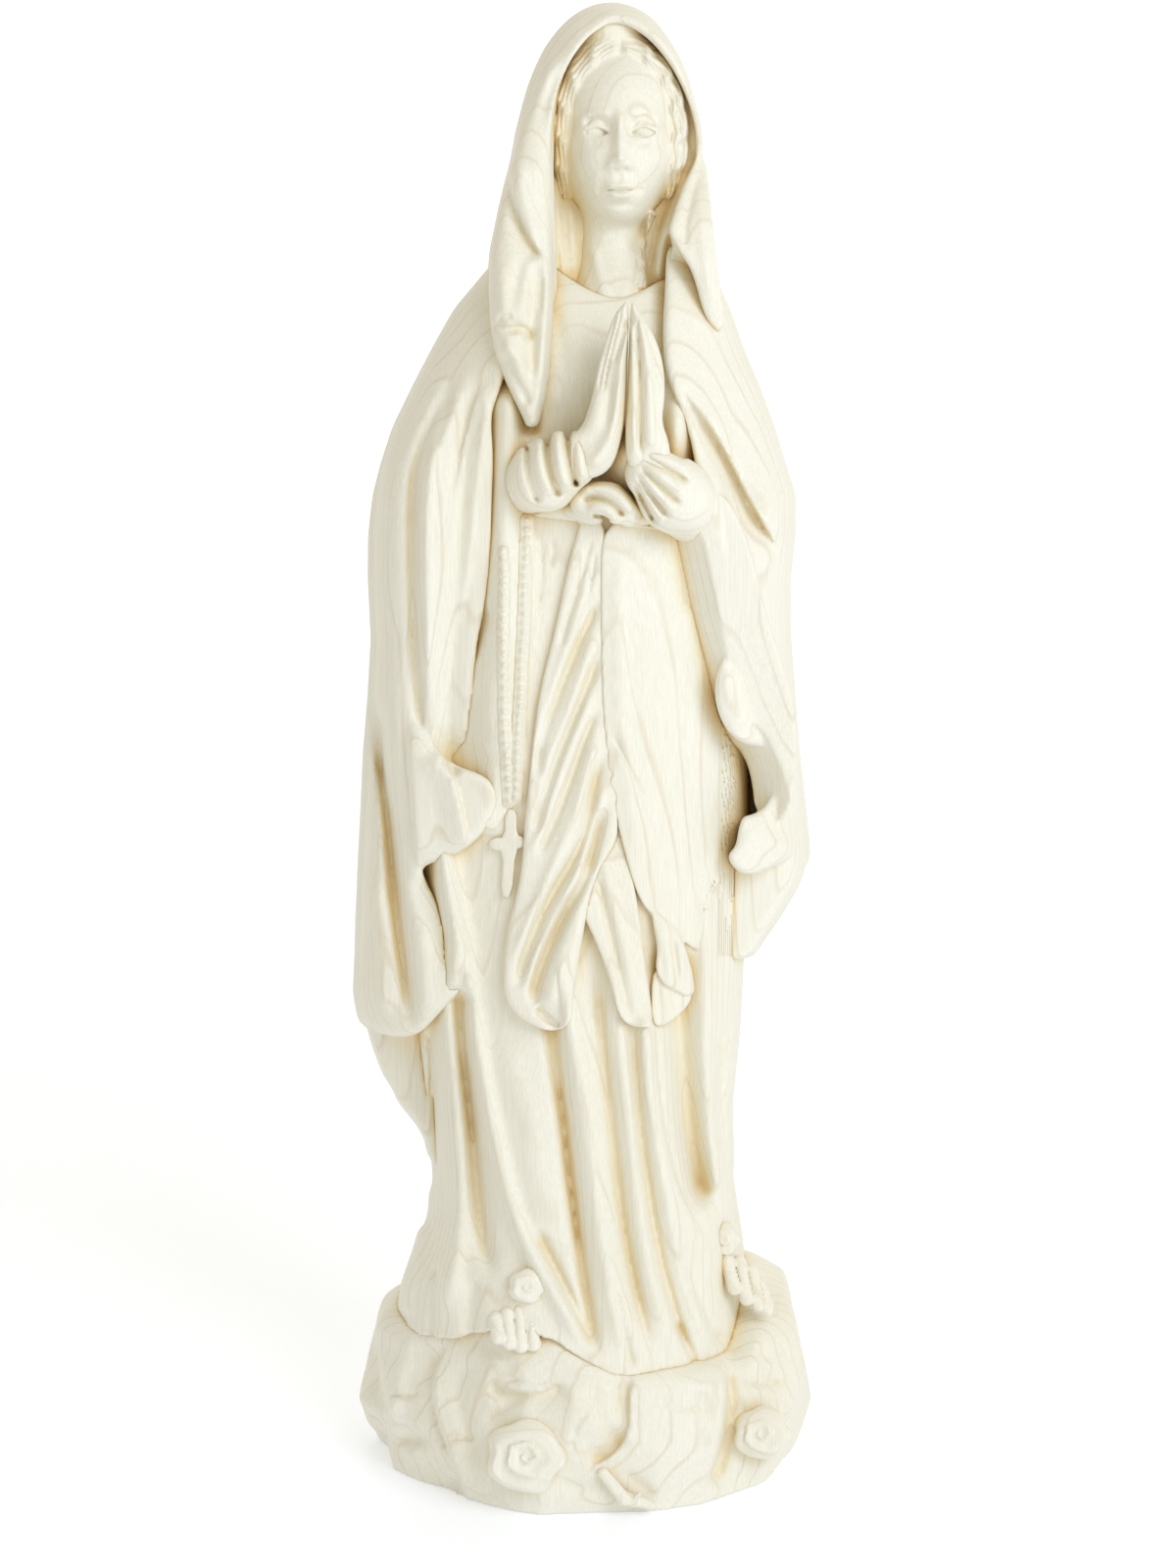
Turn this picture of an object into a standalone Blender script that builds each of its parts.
"""A carved maple figure of a praying madonna on a rock, glued up from separately carved blocks.

Frame: origin at the centre of the rock's flat underside, +Z up, the figure faces -Y, +X is the
viewer's right. Lengths below are in millimetres and become metres when a mesh is made.
"Right" and "left" in a piece's name are the figure's own, so the right hand is at -X.
"""

import math

import bmesh
import bpy

MM = 0.001
GAP = 0.35  # clearance left between two glued faces
CUT_GAP = 0.40  # how far a neighbour's cutter stands off its own surface
SQUARENESS = 2.3  # exponent of the superellipse sections: 2 is an ellipse
SIDES = 32

HEIGHT = 400.0
ROCK_TOP = 40.0
NECK_BASE = 326.0
SHOULDER_TOP = 328.0
CLOTH = 4.0  # how far a carved layer of cloth stands off the gown
MAPLE = (0.86, 0.76, 0.60, 1.0)

# Each station is (z, left x, right x, front y, back y).
GOWN = [
    (ROCK_TOP + GAP, -52, 43, -47, 36),
    (60, -47, 42, -44, 35),
    (90, -42, 41, -40, 33),
    (130, -41, 42, -37, 32),
    (180, -40, 41, -35, 32),
    (225, -36, 38, -31, 32),
    (262, -26, 28, -24, 28),
    (285, -28, 31, -26, 26),
    (308, -28, 32, -23, 24),
    (320, -20, 27, -17, 20),
    (NECK_BASE, -13, 20, -14, 15),
]
HEAD = [
    (NECK_BASE + GAP, -4, 16, -13, 8),
    (339, -3, 16, -14, 9),
    (345, -3, 19, -23, 13),
    (356, -7, 22, -26, 19),
    (368, -8, 24, -25, 21),
    (380, -7, 23, -23, 19),
    (389, -2, 18, -16, 13),
    (393, 4, 13, -7, 5),
]
VEIL = [
    (SHOULDER_TOP + GAP, -26, 33, -20, 34),
    (340, -21, 31, -21, 29),
    (352, -20, 31.5, -22, 27),
    (366, -18, 31.5, -23, 26),
    (380, -14.5, 28, -23, 23),
    (390, -8.5, 22, -20, 17),
    (396, -1.5, 16, -14, 11),
    (HEIGHT, 4, 11, -5, 4),
]
VEIL_RIGHT_FALL = [
    (293, -17, -12, -33, -27),
    (305, -21, -11, -34, -20),
    (318, -25, -10, -32, -14),
    (332, -25, -11, -28, -8),
]
VEIL_LEFT_FALL = [
    (316, 33, 37, -20, -14),
    (322, 28, 36, -22, -8),
    (332, 19, 34, -24, -4),
]
MANTLE = [
    (84, -50, 50, -26, 46),
    (108, -56, 52, -30, 48),
    (133, -62, 55, -34, 50),
    (178, -61, 60.5, -37, 51),
    (205, -58.5, 58, -38, 51),
    (235, -56.5, 55, -38, 50),
    (262, -56.5, 55, -38, 47),
    (274, -56, 56, -37, 45),
    (286, -52.5, 53, -35, 43),
    (298, -47, 46.5, -32, 40),
    (312, -40.5, 41, -27, 37),
    (322, -34, 36.5, -22, 34),
    (SHOULDER_TOP, -28, 33, -18, 31),
]
# The front opening that shows the gown, as (x, z) going down the right edge and up the left.
OPENING = [
    (-12, 335), (-21, 303), (-25, 265), (-27, 250), (-30, 205), (-26, 190), (-31, 150),
    (-38, 126), (-38, 70), (44, 70), (43, 150), (40, 180), (38, 205), (31, 218),
    (27, 240), (28, 262), (24, 290), (18, 312), (15, 335),
]  # fmt: skip
SIDE_SEAM = 22.0  # the back board meets each side board at this distance from the middle
RIGHT_HEM, LEFT_HEM, LEFT_BACK_HEM = 128.0, 168.0, 142.0

# The rock's outline at the ground, as (x, y).
ROCK_OUTLINE = [
    (0, -60), (12, -55), (22, -57), (36, -50), (50, -38), (61, -20), (66.5, 4), (62, 28),
    (50, 46), (30, 59), (6, 62), (-20, 60), (-42, 47), (-58, 30), (-66.5, 6), (-61, -12),
    (-57, -26), (-45, -38), (-34, -43), (-22, -54),
]  # fmt: skip
ROCK_SHRINK = [(0, 0.985), (10, 1.0), (22, 0.985), (33, 0.92), (ROCK_TOP, 0.82)]
ROCK_SHOULDER = [
    (20, 10, 62, -20, 46),
    (38, 12, 58, -18, 44),
    (48, 22, 52, -8, 36),
    (53, 30, 46, 2, 26),
]

# Each sleeve is a cone: where it leaves the mantle, where the cuff ends, and the radius at each.
RIGHT_SLEEVE = ((-21, -24, 271), (0, -43, 284), 10.5, 7.5)
LEFT_SLEEVE = ((29, -25, 264), (18, -43, 281), 10.5, 7.5)
PALM_PLANE = 10.2  # the x where the two palms meet
HAND_STATIONS = [  # z, how far the back of the hand stands off the palm plane, front y, back y
    (281, 7.5, -49, -37),
    (296, 9.3, -50, -34),
    (306, 7.2, -49, -35),
    (316, 4.6, -47, -37),
    (322.5, 1.8, -44.5, -40),
]
SASH_RIGHT_TAIL = [(-9, 259), (2, 259), (3, 200), (0, 150), (-6, 128), (-14, 134), (-17, 152), (-15, 200)]
SASH_LEFT_TAIL = [(3.6, 185), (7, 196), (13, 160), (18, 131), (10, 129), (2, 160)]
OVERSKIRT = [(5, 258), (19, 256), (25, 225), (31, 190), (33, 160), (28, 136), (21, 134), (14.5, 165), (8, 205)]
SASH_KNOT = [(261, 0, 9, -31, -20), (265, -3, 12, -35, -20), (270, -2, 11, -35, -20), (274, 2, 8, -31, -20)]
BEAD_PITCH, BEAD_RADIUS, BEAD_WAIST = 2.6, 1.25, 0.7
OUTER_STRAND = [(-21.5, 258), (-22, 240), (-22, 215), (-21, 192)]
INNER_STRAND = [(-15, 262), (-16.5, 240), (-17.5, 215), (-17.5, 196)]
CROSS = {"x": -21.0, "top": 189.0, "bottom": 167.0, "arm_z": 180.5, "arm": 4.4, "bar": 1.6, "deep": 3.0}


def clear_scene():
    for obj in list(bpy.data.objects):
        bpy.data.objects.remove(obj)


def maple(name):
    """Pale unfinished maple, slightly different in tone for each block."""
    material = bpy.data.materials.new(name + "_maple")
    material.use_nodes = True
    shader = material.node_tree.nodes["Principled BSDF"]
    shader.inputs["Base Color"].default_value = MAPLE
    shader.inputs["Roughness"].default_value = 0.62
    shader.inputs["Metallic"].default_value = 0.0
    return material


def mesh_object(name, mesh_data, cutter):
    mesh = bpy.data.meshes.new(name)
    mesh_data.to_mesh(mesh)
    mesh_data.free()
    obj = bpy.data.objects.new(name, mesh)
    bpy.context.scene.collection.objects.link(obj)
    if cutter:
        obj.hide_render = True
        obj.display_type = "WIRE"
    else:
        mesh.materials.append(maple(name))
    return obj


def stack(name, rings, cutter=False):
    """A closed solid through rings of points, all of one length, in millimetres."""
    mesh_data = bmesh.new()
    layers = [[mesh_data.verts.new((x * MM, y * MM, z * MM)) for x, y, z in ring] for ring in rings]
    for low, high in zip(layers, layers[1:]):
        for i in range(len(low)):
            j = (i + 1) % len(low)
            mesh_data.faces.new((low[i], low[j], high[j], high[i]))
    mesh_data.faces.new(list(reversed(layers[0])))
    mesh_data.faces.new(layers[-1])
    bmesh.ops.recalc_face_normals(mesh_data, faces=mesh_data.faces)
    bmesh.ops.triangulate(mesh_data, faces=mesh_data.faces)
    return mesh_object(name, mesh_data, cutter)


def signed_power(value, power):
    return math.copysign(abs(value) ** power, value)


def section(station, grow=0.0, sides=SIDES):
    """A superellipse ring that fills the station's box, grown outwards by grow."""
    z, left, right, front, back = station
    middle_x, middle_y = (left + right) / 2, (front + back) / 2
    reach_x, reach_y = (right - left) / 2 + grow, (back - front) / 2 + grow
    ring = []
    for i in range(sides):
        angle = 2 * math.pi * i / sides
        ring.append(
            (
                middle_x + reach_x * signed_power(math.cos(angle), 2 / SQUARENESS),
                middle_y + reach_y * signed_power(math.sin(angle), 2 / SQUARENESS),
                z,
            )
        )
    return ring


def loft(name, stations, grow=0.0, cutter=False, sides=SIDES):
    """A body through stations. With grow it is larger all round, ends included."""
    rings = [section(s, grow, sides) for s in stations]
    if grow:
        rings[0] = [(x, y, z - grow) for x, y, z in rings[0]]
        rings[-1] = [(x, y, z + grow) for x, y, z in rings[-1]]
    return stack(name, rings, cutter)


def prism(name, outline, low_y, high_y, cutter=False):
    """An outline in (x, z) pushed through from low_y to high_y."""
    rings = [[(x, y, z) for x, z in outline] for y in (low_y, high_y)]
    return stack(name, rings, cutter)


def box(name, low, high, cutter=False):
    """A box between two corners."""
    outline = [(low[0], low[2]), (high[0], low[2]), (high[0], high[2]), (low[0], high[2])]
    return prism(name, outline, low[1], high[1], cutter)


def rod(name, start, end, start_radius, end_radius, grow=0.0, cutter=False, sides=12):
    """A round bar or cone from one point to another, in millimetres."""
    direction = [e - s for s, e in zip(start, end)]
    length = math.sqrt(sum(d * d for d in direction))
    along = [d / length for d in direction]
    helper = (0, 0, 1) if abs(along[2]) < 0.9 else (1, 0, 0)
    side = cross_product(along, helper)
    size = math.sqrt(sum(s * s for s in side))
    side = [s / size for s in side]
    up = cross_product(side, along)
    rings = []
    for offset, radius in ((-grow, start_radius), (length + grow, end_radius)):
        ring = []
        for i in range(sides):
            angle = 2 * math.pi * i / sides
            ring.append(
                tuple(
                    start[k]
                    + along[k] * offset
                    + (radius + grow) * (side[k] * math.cos(angle) + up[k] * math.sin(angle))
                    for k in range(3)
                )
            )
        rings.append(ring)
    return stack(name, rings, cutter)


def cross_product(a, b):
    return [a[1] * b[2] - a[2] * b[1], a[2] * b[0] - a[0] * b[2], a[0] * b[1] - a[1] * b[0]]


def boolean(obj, other, operation="DIFFERENCE"):
    modifier = obj.modifiers.new(operation.lower() + "_" + other.name, "BOOLEAN")
    modifier.operation = operation
    modifier.solver = "EXACT"
    modifier.object = other


def between(value, points):
    """Linear value at a height from (value, height) points listed from the top down."""
    for (v0, z0), (v1, z1) in zip(points, points[1:]):
        if z1 <= value <= z0:
            return v0 + (v1 - v0) * (z0 - value) / (z0 - z1)
    return points[-1][0]


def gown_front(x, z):
    """The y of the gown's front surface at (x, z)."""
    for low, high in zip(GOWN, GOWN[1:]):
        if low[0] <= z <= high[0]:
            share = (z - low[0]) / (high[0] - low[0])
            left, right, front, back = (a + (b - a) * share for a, b in zip(low[1:], high[1:]))
            across = min(1.0, abs((x - (left + right) / 2) / ((right - left) / 2)))
            reach = (1 - across**SQUARENESS) ** (1 / SQUARENESS)
            return (front + back) / 2 - reach * (back - front) / 2
    return GOWN[0][3]


def make_cutters():
    """Bodies a little larger than the pieces, which make room for them in their neighbours."""
    return {
        "gown": loft("cut_gown", GOWN, CUT_GAP, cutter=True),
        "head": loft("cut_head", HEAD, CUT_GAP, cutter=True),
        "veil": loft("cut_veil", VEIL, CUT_GAP, cutter=True),
        "right_fall": loft("cut_right_fall", VEIL_RIGHT_FALL, CUT_GAP, cutter=True, sides=12),
        "left_fall": loft("cut_left_fall", VEIL_LEFT_FALL, CUT_GAP, cutter=True, sides=12),
        "opening": prism("cut_opening", OPENING, -70, 0, cutter=True),
        "right_sleeve": rod("cut_right_sleeve", *RIGHT_SLEEVE, CUT_GAP, cutter=True, sides=16),
        "left_sleeve": rod("cut_left_sleeve", *LEFT_SLEEVE, CUT_GAP, cutter=True, sides=16),
        "cloth": loft("cut_cloth", GOWN, CLOTH, cutter=True),
    }


def rock_ring(z, share, grow=0.0):
    return [
        (x * share + math.copysign(grow, x), y * share + math.copysign(grow, y), z + grow * (z == ROCK_TOP))
        for x, y in ROCK_OUTLINE
    ]


def make_rock(cutters):
    rock = stack("rock_base", [rock_ring(z, share) for z, share in ROCK_SHRINK])
    shoulder = loft("rock_shoulder", ROCK_SHOULDER, cutter=True, sides=16)
    boolean(rock, shoulder, "UNION")
    boolean(rock, cutters["gown"])
    return rock


def make_dowels(pieces):
    """Beech dowels hidden in the glue faces: (name, start, end, radius, the two pieces it joins)."""
    dowels = [
        ("base_dowel_right", (-22, 0, 18), (-22, 0, 62), 4.0, ("rock_base", "gown_body")),
        ("base_dowel_left", (18, 0, 18), (18, 0, 62), 4.0, ("rock_base", "gown_body")),
        ("neck_dowel", (6, -2, 308), (6, -2, 344), 3.0, ("gown_body", "head")),
    ]
    for name, start, end, radius, joined in dowels:
        rod(name, start, end, radius, radius)
        hole = rod("hole_" + name, start, end, radius, radius, GAP, cutter=True)
        for piece in joined:
            boolean(pieces[piece], hole)


def make_mantle(cutters):
    """Three boards round the back and sides of the gown: back, right side and left side."""
    far = 90.0
    seam = SIDE_SEAM
    boards = {
        "mantle_back": ((-seam + GAP / 2, 0, 60), (seam - GAP / 2, far, 340)),
        "mantle_right_side": ((-far, -far, 60), (-seam - GAP / 2, far, 340)),
        "mantle_left_side": ((seam + GAP / 2, -far, 60), (far, far, 340)),
    }
    right_hem = box("cut_right_hem", (-far, -far, 60), (-30, 6, RIGHT_HEM), cutter=True)
    left_hem = box("cut_left_hem", (21, -far, 60), (far, 12, LEFT_HEM), cutter=True)
    left_back_hem = box("cut_left_back_hem", (21, -far, 60), (far, far, LEFT_BACK_HEM), cutter=True)
    pieces = {}
    for name, (low, high) in boards.items():
        piece = loft(name, MANTLE)
        boolean(piece, box("board_" + name, low, high, cutter=True), "INTERSECT")
        boolean(piece, cutters["gown"])
        boolean(piece, cutters["head"])
        pieces[name] = piece
    for name in ("mantle_right_side", "mantle_left_side"):
        side = "right" if "right" in name else "left"
        boolean(pieces[name], cutters["opening"])
        boolean(pieces[name], cutters[side + "_fall"])
        boolean(pieces[name], cutters[side + "_sleeve"])
    boolean(pieces["mantle_right_side"], right_hem)
    boolean(pieces["mantle_left_side"], left_hem)
    boolean(pieces["mantle_left_side"], left_back_hem)
    return pieces


def make_veil(cutters):
    veil = loft("veil", VEIL)
    window = [(-9, 322), (-11, 350), (-9, 372), (-2, 385), (8, 389), (18, 385), (25, 372), (25, 350), (18, 322)]
    for fall, stations in (("right", VEIL_RIGHT_FALL), ("left", VEIL_LEFT_FALL)):
        boolean(veil, loft(fall + "_fall", stations, cutter=True, sides=12), "UNION")
    boolean(veil, prism("cut_face_window", window, -60, 0, cutter=True))
    boolean(veil, cutters["head"])
    boolean(veil, cutters["gown"])
    return veil


def make_sleeves(cutters):
    pieces = {}
    for name, ends in (("right_sleeve", RIGHT_SLEEVE), ("left_sleeve", LEFT_SLEEVE)):
        sleeve = rod(name, *ends, sides=16)
        boolean(sleeve, cutters["gown"])
        pieces[name] = sleeve
    return pieces


def make_hands(cutters):
    """Two hands pressed together at the palm plane, pointing up."""
    for name, side in (("right_hand", -1), ("left_hand", 1)):
        stations = []
        for z, thick, front, back in HAND_STATIONS:
            inner, outer = PALM_PLANE + side * GAP / 2, PALM_PLANE + side * thick
            stations.append((z, min(inner, outer), max(inner, outer), front, back))
        hand = loft(name, stations, sides=16)
        boolean(hand, cutters["right_sleeve"])
        boolean(hand, cutters["left_sleeve"])


def make_cloth_layers(cutters):
    """The sash tails and the overskirt panel lie on the gown, CLOTH thick."""
    for name, outline in (
        ("sash_right_tail", SASH_RIGHT_TAIL),
        ("sash_left_tail", SASH_LEFT_TAIL),
        ("overskirt_panel", OVERSKIRT),
    ):
        piece = prism(name, outline, -70, -8)
        boolean(piece, cutters["cloth"], "INTERSECT")
        boolean(piece, cutters["gown"])
    knot = loft("sash_knot", SASH_KNOT, sides=12)
    for cutter in ("gown", "right_sleeve", "left_sleeve"):
        boolean(knot, cutters[cutter])


def make_rosary(cutters):
    """Two strands of beads and a cross, standing in relief on the gown."""
    for name, route in (("rosary_outer_strand", OUTER_STRAND), ("rosary_inner_strand", INNER_STRAND)):
        top, bottom = route[0][1], route[-1][1]
        count = round((top - bottom) / BEAD_PITCH)
        rings = []
        for step in range(2 * count + 1):
            z = bottom + (top - bottom) * step / (2 * count)
            x = between(z, route)
            radius = BEAD_RADIUS if step % 2 else BEAD_WAIST
            y = gown_front(x, z) - BEAD_RADIUS - CUT_GAP - 0.6
            ring = []
            for i in range(6):
                angle = 2 * math.pi * i / 6
                ring.append((x + radius * math.cos(angle), y + radius * math.sin(angle), z))
            rings.append(ring)
        stack(name, rings)
    c = CROSS
    outline = [
        (c["x"] - c["bar"], c["bottom"]), (c["x"] + c["bar"], c["bottom"]),
        (c["x"] + c["bar"], c["arm_z"] - c["bar"]), (c["x"] + c["arm"], c["arm_z"] - c["bar"]),
        (c["x"] + c["arm"], c["arm_z"] + c["bar"]), (c["x"] + c["bar"], c["arm_z"] + c["bar"]),
        (c["x"] + c["bar"], c["top"]), (c["x"] - c["bar"], c["top"]),
        (c["x"] - c["bar"], c["arm_z"] + c["bar"]), (c["x"] - c["arm"], c["arm_z"] + c["bar"]),
        (c["x"] - c["arm"], c["arm_z"] - c["bar"]), (c["x"] - c["bar"], c["arm_z"] - c["bar"]),
    ]  # fmt: skip
    back = gown_front(c["x"], c["arm_z"])
    cross = prism("rosary_cross", outline, back - c["deep"] - 1.0, back + 6)
    boolean(cross, cutters["gown"])


def make_feet_and_roses(cutters, rock_cutter):
    """Each foot shows its toes under the hem and carries a rose; two more roses grow on the rock."""
    for name, stations in (
        ("right_foot", [(ROCK_TOP + 0.8, -23, -11, -55, -36), (46, -22, -12, -54, -36), (51, -20, -13, -50, -38)]),
        ("left_foot", [(ROCK_TOP + 0.8, 34, 50, -26, -4), (50, 35, 49, -25, -4), (57, 36, 46, -20, -6)]),
    ):
        foot = loft(name, stations, sides=12)
        boolean(foot, cutters["gown"])
        boolean(foot, rock_cutter)
    for name, middle, radius, deep, pieces in (
        ("right_foot_rose", (-16, -49, 57), 5.5, 5, ("gown",)),
        ("left_foot_rose", (38, -22, 68), 5.5, 6, ("gown",)),
        ("base_rose_front", (-17, -56, 14), 10.0, 6, ("rock",)),
        ("base_rose_side", (46, -44, 24), 8.5, 7, ("rock",)),
    ):
        x, y, z = middle
        rose = rod(name, (x, y - deep, z), (x, y + deep, z), radius * 0.7, radius, sides=14)
        boolean(rose, cutters["gown"] if "gown" in pieces else rock_cutter)
    branch = rod("thorn_branch", (3, -58, 9), (19, -58, 4), 3.0, 2.4, sides=10)
    boolean(branch, rock_cutter)


def main():
    clear_scene()
    cutters = make_cutters()
    gown = loft("gown_body", GOWN)
    head = loft("head", HEAD)
    rock = make_rock(cutters)
    rock_cutter = stack("cut_rock", [rock_ring(z, share, CUT_GAP) for z, share in ROCK_SHRINK], cutter=True)
    boolean(rock_cutter, loft("cut_rock_shoulder", ROCK_SHOULDER, CUT_GAP, cutter=True, sides=16), "UNION")
    make_dowels({"rock_base": rock, "gown_body": gown, "head": head})
    make_mantle(cutters)
    make_veil(cutters)
    make_sleeves(cutters)
    make_hands(cutters)
    make_cloth_layers(cutters)
    make_rosary(cutters)
    make_feet_and_roses(cutters, rock_cutter)


main()
